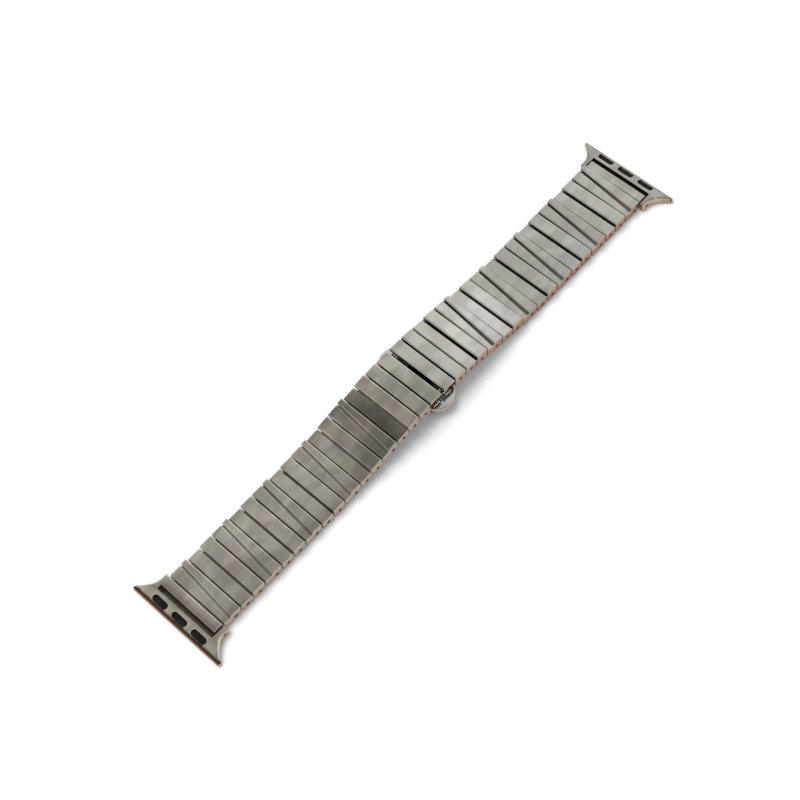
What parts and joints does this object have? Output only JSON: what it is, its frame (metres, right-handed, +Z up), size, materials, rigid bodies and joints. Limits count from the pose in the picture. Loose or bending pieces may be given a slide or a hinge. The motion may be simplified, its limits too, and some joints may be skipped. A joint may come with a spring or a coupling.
{
  "type": "metal watch bracelet",
  "caption": "Straight steel link watch bracelet with stepped and wedge-shaped links, a butterfly clasp with side buttons and flared end lugs.",
  "frame": {"origin": "middle of the closed clasp, on the surface that the bracelet lies on", "axes": "+X along the band towards the right lug, +Y across it to the far side, +Z up"},
  "size_m": [0.1846, 0.032, 0.0086],
  "materials": {
    "brushed_link": "satin brushed steel with bright edges and a rose tint on the sides",
    "lug_steel": "satin steel with rose tinted edges",
    "clasp_steel": "plain satin steel",
    "polished_button": "polished steel",
    "bright_steel": "bright steel",
    "black_insert": "matt black"
  },
  "bodies": {
    "clasp_base": {"base_plate": "clasp_steel", "latch_block": "clasp_steel", "block_rivet": "bright_steel", "left_hinge_pin": "bright_steel", "right_hinge_pin": "bright_steel", "near_spring": "bright_steel", "far_spring": "bright_steel"},
    "left_arm_body": {"left_arm": "clasp_steel"},
    "left_clasp_link_body": {"left_clasp_link": "brushed_link"},
    "left_link_01_body": {"left_link_01": "brushed_link"},
    "left_link_02_body": {"left_link_02": "brushed_link"},
    "left_link_03_body": {"left_link_03": "brushed_link"},
    "left_link_04_body": {"left_link_04": "brushed_link"},
    "left_link_05_body": {"left_link_05": "brushed_link"},
    "left_link_06_body": {"left_link_06": "brushed_link"},
    "left_link_07_body": {"left_link_07": "brushed_link"},
    "left_link_08_body": {"left_link_08": "brushed_link"},
    "left_link_09_body": {"left_link_09": "brushed_link"},
    "left_link_10_body": {"left_link_10": "brushed_link"},
    "left_link_11_body": {"left_link_11": "brushed_link"},
    "left_link_12_body": {"left_link_12": "brushed_link"},
    "left_link_13_body": {"left_link_13": "brushed_link"},
    "left_link_14_body": {"left_link_14": "brushed_link"},
    "left_link_15_body": {"left_link_15": "brushed_link"},
    "left_link_16_body": {"left_link_16": "brushed_link"},
    "left_lug_body": {"left_lug": "lug_steel", "left_end_cover": "brushed_link", "left_lug_pin": "bright_steel", "left_lug_pads": "black_insert"},
    "left_lug_latch_body": {"left_lug_latch": "black_insert"},
    "right_arm_body": {"right_arm": "clasp_steel"},
    "right_clasp_link_body": {"right_clasp_link": "brushed_link"},
    "right_link_01_body": {"right_link_01": "brushed_link"},
    "right_link_02_body": {"right_link_02": "brushed_link"},
    "right_link_03_body": {"right_link_03": "brushed_link"},
    "right_link_04_body": {"right_link_04": "brushed_link"},
    "right_link_05_body": {"right_link_05": "brushed_link"},
    "right_link_06_body": {"right_link_06": "brushed_link"},
    "right_link_07_body": {"right_link_07": "brushed_link"},
    "right_link_08_body": {"right_link_08": "brushed_link"},
    "right_link_09_body": {"right_link_09": "brushed_link"},
    "right_link_10_body": {"right_link_10": "brushed_link"},
    "right_link_11_body": {"right_link_11": "brushed_link"},
    "right_link_12_body": {"right_link_12": "brushed_link"},
    "right_link_13_body": {"right_link_13": "brushed_link"},
    "right_link_14_body": {"right_link_14": "brushed_link"},
    "right_link_15_body": {"right_link_15": "brushed_link"},
    "right_link_16_body": {"right_link_16": "brushed_link"},
    "right_lug_body": {"right_lug": "lug_steel", "right_end_cover": "brushed_link", "right_lug_pin": "bright_steel", "right_lug_pads": "black_insert"},
    "right_lug_latch_body": {"right_lug_latch": "black_insert"},
    "near_button_body": {"near_button": "polished_button"},
    "far_button_body": {"far_button": "polished_button"}
  },
  "joints": [
    {"name": "left_arm_hinge", "type": "hinge", "parent": "clasp_base", "child": "left_arm_body", "pos_m": [-0.0166, 0, 0.001], "axis": [0, -1, 0], "range_deg": [0, 155]},
    {"name": "left_clasp_link_hinge", "type": "hinge", "parent": "left_arm_body", "child": "left_clasp_link_body", "pos_m": [-0.00265, 0, 0.0038], "axis": [0, 1, 0], "range_deg": [0, 155]},
    {"name": "left_link_01_hinge", "type": "hinge", "parent": "left_clasp_link_body", "child": "left_link_01_body", "pos_m": [-0.00705, 0, 0.00609], "axis": [0, -1, 0], "range_deg": [-9.24, 5]},
    {"name": "left_link_02_hinge", "type": "hinge", "parent": "left_link_01_body", "child": "left_link_02_body", "pos_m": [-0.01143, 0, 0.00568], "axis": [0, -1, 0], "range_deg": [-8.66, 9]},
    {"name": "left_link_03_hinge", "type": "hinge", "parent": "left_link_02_body", "child": "left_link_03_body", "pos_m": [-0.01579, 0, 0.00507], "axis": [0, -1, 0], "range_deg": [-7.76, 13.24]},
    {"name": "left_link_04_hinge", "type": "hinge", "parent": "left_link_03_body", "child": "left_link_04_body", "pos_m": [-0.02002, 0, 0.00434], "axis": [0, -1, 0], "range_deg": [-6.66, 14.34]},
    {"name": "left_link_05_hinge", "type": "hinge", "parent": "left_link_04_body", "child": "left_link_05_body", "pos_m": [-0.02622, 0, 0.0032], "axis": [0, -1, 0], "range_deg": [-4.93, 16.07]},
    {"name": "left_link_06_hinge", "type": "hinge", "parent": "left_link_05_body", "child": "left_link_06_body", "pos_m": [-0.03056, 0, 0.00249], "axis": [0, -1, 0], "range_deg": [-3.95, 17.05]},
    {"name": "left_link_07_hinge", "type": "hinge", "parent": "left_link_06_body", "child": "left_link_07_body", "pos_m": [-0.03483, 0, 0.00194], "axis": [0, -1, 0], "range_deg": [-3.21, 17.79]},
    {"name": "left_link_08_hinge", "type": "hinge", "parent": "left_link_07_body", "child": "left_link_08_body", "pos_m": [-0.04111, 0, 0.00145], "axis": [0, -1, 0], "range_deg": [-1.51, 19.49]},
    {"name": "left_link_09_hinge", "type": "hinge", "parent": "left_link_08_body", "child": "left_link_09_body", "pos_m": [-0.04551, 0, 0.00145], "axis": [0, -1, 0], "range_deg": [-6, 15]},
    {"name": "left_link_10_hinge", "type": "hinge", "parent": "left_link_09_body", "child": "left_link_10_body", "pos_m": [-0.04981, 0, 0.00145], "axis": [0, -1, 0], "range_deg": [-6, 15]},
    {"name": "left_link_11_hinge", "type": "hinge", "parent": "left_link_10_body", "child": "left_link_11_body", "pos_m": [-0.05611, 0, 0.00145], "axis": [0, -1, 0], "range_deg": [-6, 15]},
    {"name": "left_link_12_hinge", "type": "hinge", "parent": "left_link_11_body", "child": "left_link_12_body", "pos_m": [-0.06051, 0, 0.00145], "axis": [0, -1, 0], "range_deg": [-6, 15]},
    {"name": "left_link_13_hinge", "type": "hinge", "parent": "left_link_12_body", "child": "left_link_13_body", "pos_m": [-0.06481, 0, 0.00145], "axis": [0, -1, 0], "range_deg": [-6, 15]},
    {"name": "left_link_14_hinge", "type": "hinge", "parent": "left_link_13_body", "child": "left_link_14_body", "pos_m": [-0.07111, 0, 0.00145], "axis": [0, -1, 0], "range_deg": [-6, 15]},
    {"name": "left_link_15_hinge", "type": "hinge", "parent": "left_link_14_body", "child": "left_link_15_body", "pos_m": [-0.07551, 0, 0.00145], "axis": [0, -1, 0], "range_deg": [-6, 15]},
    {"name": "left_link_16_hinge", "type": "hinge", "parent": "left_link_15_body", "child": "left_link_16_body", "pos_m": [-0.07981, 0, 0.00145], "axis": [0, -1, 0], "range_deg": [-6, 15]},
    {"name": "left_lug_hinge", "type": "hinge", "parent": "left_link_16_body", "child": "left_lug_body", "pos_m": [-0.08541, 0, 0.00145], "axis": [0, -1, 0], "range_deg": [-6, 25]},
    {"name": "left_lug_latch_slide", "type": "slide", "parent": "left_lug_body", "child": "left_lug_latch_body", "axis": [0, 0, 1], "range_m": [0, 0.0005], "stiffness_N_per_m": 150},
    {"name": "right_arm_hinge", "type": "hinge", "parent": "clasp_base", "child": "right_arm_body", "pos_m": [0.0166, 0, 0.001], "axis": [0, 1, 0], "range_deg": [0, 155]},
    {"name": "right_clasp_link_hinge", "type": "hinge", "parent": "right_arm_body", "child": "right_clasp_link_body", "pos_m": [0.00265, 0, 0.0038], "axis": [0, -1, 0], "range_deg": [0, 155]},
    {"name": "right_link_01_hinge", "type": "hinge", "parent": "right_clasp_link_body", "child": "right_link_01_body", "pos_m": [0.00705, 0, 0.00609], "axis": [0, 1, 0], "range_deg": [-9.27, 5]},
    {"name": "right_link_02_hinge", "type": "hinge", "parent": "right_link_01_body", "child": "right_link_02_body", "pos_m": [0.01143, 0, 0.00568], "axis": [0, 1, 0], "range_deg": [-8.68, 9]},
    {"name": "right_link_03_hinge", "type": "hinge", "parent": "right_link_02_body", "child": "right_link_03_body", "pos_m": [0.01578, 0, 0.00506], "axis": [0, 1, 0], "range_deg": [-7.78, 13.22]},
    {"name": "right_link_04_hinge", "type": "hinge", "parent": "right_link_03_body", "child": "right_link_04_body", "pos_m": [0.02199, 0, 0.00398], "axis": [0, 1, 0], "range_deg": [-6.58, 14.42]},
    {"name": "right_link_05_hinge", "type": "hinge", "parent": "right_link_04_body", "child": "right_link_05_body", "pos_m": [0.02622, 0, 0.0032], "axis": [0, 1, 0], "range_deg": [-5, 16]},
    {"name": "right_link_06_hinge", "type": "hinge", "parent": "right_link_05_body", "child": "right_link_06_body", "pos_m": [0.03056, 0, 0.00248], "axis": [0, 1, 0], "range_deg": [-3.93, 17.07]},
    {"name": "right_link_07_hinge", "type": "hinge", "parent": "right_link_06_body", "child": "right_link_07_body", "pos_m": [0.03681, 0, 0.00168], "axis": [0, 1, 0], "range_deg": [-1.69, 19.31]},
    {"name": "right_link_08_hinge", "type": "hinge", "parent": "right_link_07_body", "child": "right_link_08_body", "pos_m": [0.0411, 0, 0.00145], "axis": [0, 1, 0], "range_deg": [-2.96, 18.04]},
    {"name": "right_link_09_hinge", "type": "hinge", "parent": "right_link_08_body", "child": "right_link_09_body", "pos_m": [0.0455, 0, 0.00145], "axis": [0, 1, 0], "range_deg": [-6, 15]},
    {"name": "right_link_10_hinge", "type": "hinge", "parent": "right_link_09_body", "child": "right_link_10_body", "pos_m": [0.0518, 0, 0.00145], "axis": [0, 1, 0], "range_deg": [-6, 15]},
    {"name": "right_link_11_hinge", "type": "hinge", "parent": "right_link_10_body", "child": "right_link_11_body", "pos_m": [0.0561, 0, 0.00145], "axis": [0, 1, 0], "range_deg": [-6, 15]},
    {"name": "right_link_12_hinge", "type": "hinge", "parent": "right_link_11_body", "child": "right_link_12_body", "pos_m": [0.0605, 0, 0.00145], "axis": [0, 1, 0], "range_deg": [-6, 15]},
    {"name": "right_link_13_hinge", "type": "hinge", "parent": "right_link_12_body", "child": "right_link_13_body", "pos_m": [0.0668, 0, 0.00145], "axis": [0, 1, 0], "range_deg": [-6, 15]},
    {"name": "right_link_14_hinge", "type": "hinge", "parent": "right_link_13_body", "child": "right_link_14_body", "pos_m": [0.0711, 0, 0.00145], "axis": [0, 1, 0], "range_deg": [-6, 15]},
    {"name": "right_link_15_hinge", "type": "hinge", "parent": "right_link_14_body", "child": "right_link_15_body", "pos_m": [0.0755, 0, 0.00145], "axis": [0, 1, 0], "range_deg": [-6, 15]},
    {"name": "right_link_16_hinge", "type": "hinge", "parent": "right_link_15_body", "child": "right_link_16_body", "pos_m": [0.0818, 0, 0.00145], "axis": [0, 1, 0], "range_deg": [-6, 15]},
    {"name": "right_lug_hinge", "type": "hinge", "parent": "right_link_16_body", "child": "right_lug_body", "pos_m": [0.0854, 0, 0.00145], "axis": [0, 1, 0], "range_deg": [-6, 25]},
    {"name": "right_lug_latch_slide", "type": "slide", "parent": "right_lug_body", "child": "right_lug_latch_body", "axis": [0, 0, 1], "range_m": [0, 0.0005], "stiffness_N_per_m": 150},
    {"name": "near_button_press", "type": "slide", "parent": "clasp_base", "child": "near_button_body", "axis": [0, 1, 0], "range_m": [0, 0.001], "stiffness_N_per_m": 300, "deforming": ["near_spring"]},
    {"name": "far_button_press", "type": "slide", "parent": "clasp_base", "child": "far_button_body", "axis": [0, -1, 0], "range_m": [0, 0.001], "stiffness_N_per_m": 300, "deforming": ["far_spring"]}
  ],
  "couplings": [
    {"joint": "left_clasp_link_hinge", "follows": "left_arm_hinge", "ratio": 1},
    {"joint": "right_clasp_link_hinge", "follows": "right_arm_hinge", "ratio": 1}
  ]
}
